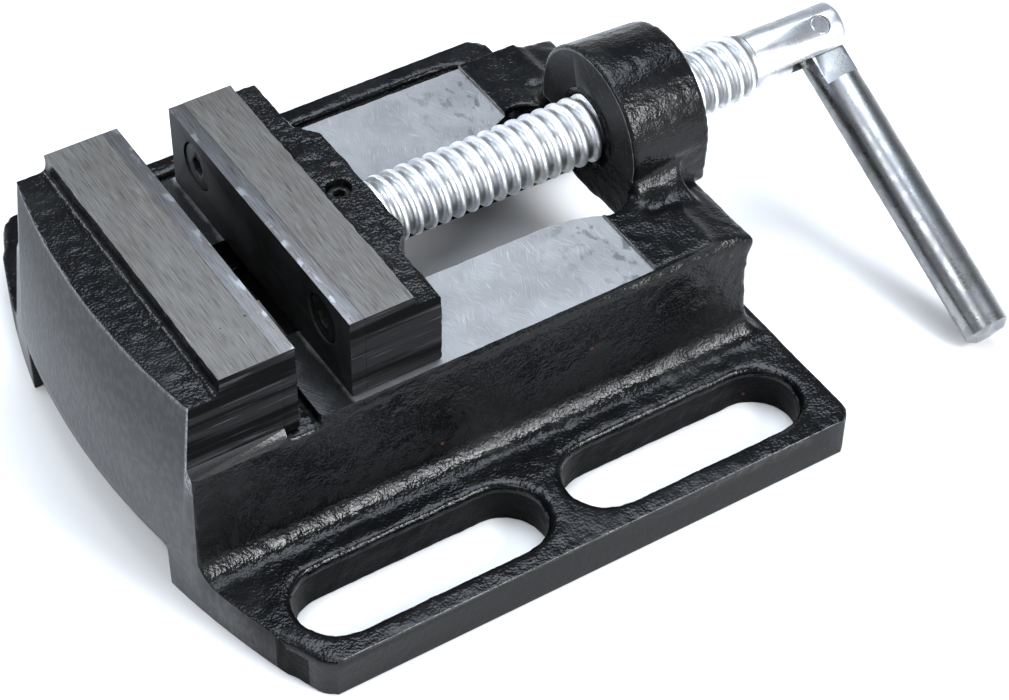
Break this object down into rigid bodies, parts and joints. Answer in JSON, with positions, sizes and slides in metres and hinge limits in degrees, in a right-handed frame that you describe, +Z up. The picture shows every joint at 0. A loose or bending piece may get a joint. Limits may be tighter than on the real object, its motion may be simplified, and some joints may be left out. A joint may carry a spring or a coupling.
{
  "type": "drill press vise",
  "caption": "Cast iron drill press vise with slotted base flanges, ground steel jaw plates, a screw driven sliding jaw and a swivelling bar handle.",
  "frame": {"origin": "on the underside of the base casting, plumb below the fixed jaw's clamping face and midway across the jaws", "axes": "+X along the screw from the fixed jaw towards the handle, +Y across the jaws, +Z up from the underside"},
  "size_m": [0.2022, 0.1578, 0.0651],
  "materials": {
    "black_casting": "gloss black enamel over a rough sand casting, with the ways and jaw tops ground bright",
    "jaw_steel": "dark hardened steel plate with ground edges",
    "black_steel": "black oxide fasteners",
    "zinc_steel": "bright zinc plated steel"
  },
  "bodies": {
    "base": {"base": "black_casting", "fixed_jaw_plate": "jaw_steel", "fixed_plate_screw_near": "black_steel", "fixed_plate_screw_far": "black_steel"},
    "moving_jaw": {"moving_jaw": "black_casting", "moving_jaw_plate": "jaw_steel", "moving_plate_screw_near": "black_steel", "moving_plate_screw_far": "black_steel", "keeper_plate": "black_steel", "keeper_washer_near": "zinc_steel", "keeper_washer_far": "zinc_steel", "keeper_bolt_near": "black_steel", "keeper_bolt_far": "black_steel", "spindle_retaining_screw": "black_steel"},
    "spindle": {"spindle": "zinc_steel", "handle_pin": "zinc_steel"},
    "handle": {"handle": "zinc_steel"}
  },
  "joints": [
    {"name": "jaw_slide", "type": "slide", "parent": "base", "child": "moving_jaw", "axis": [1, 0, 0], "range_m": [-0.01251, 0.05001]},
    {"name": "spindle_spin", "type": "hinge", "parent": "moving_jaw", "child": "spindle", "pos_m": [0.1, 0, 0.0462], "axis": [1, 0, 0], "range_deg": [-1250, 5000]},
    {"name": "handle_swing", "type": "hinge", "parent": "spindle", "child": "handle", "pos_m": [0.1606, 0, 0.0462], "axis": [0, -0.5, 0.866], "range_deg": [-17, 192]}
  ],
  "couplings": [
    {"joint": "jaw_slide", "follows": "spindle_spin", "m_per_rad": 0.00057296}
  ]
}
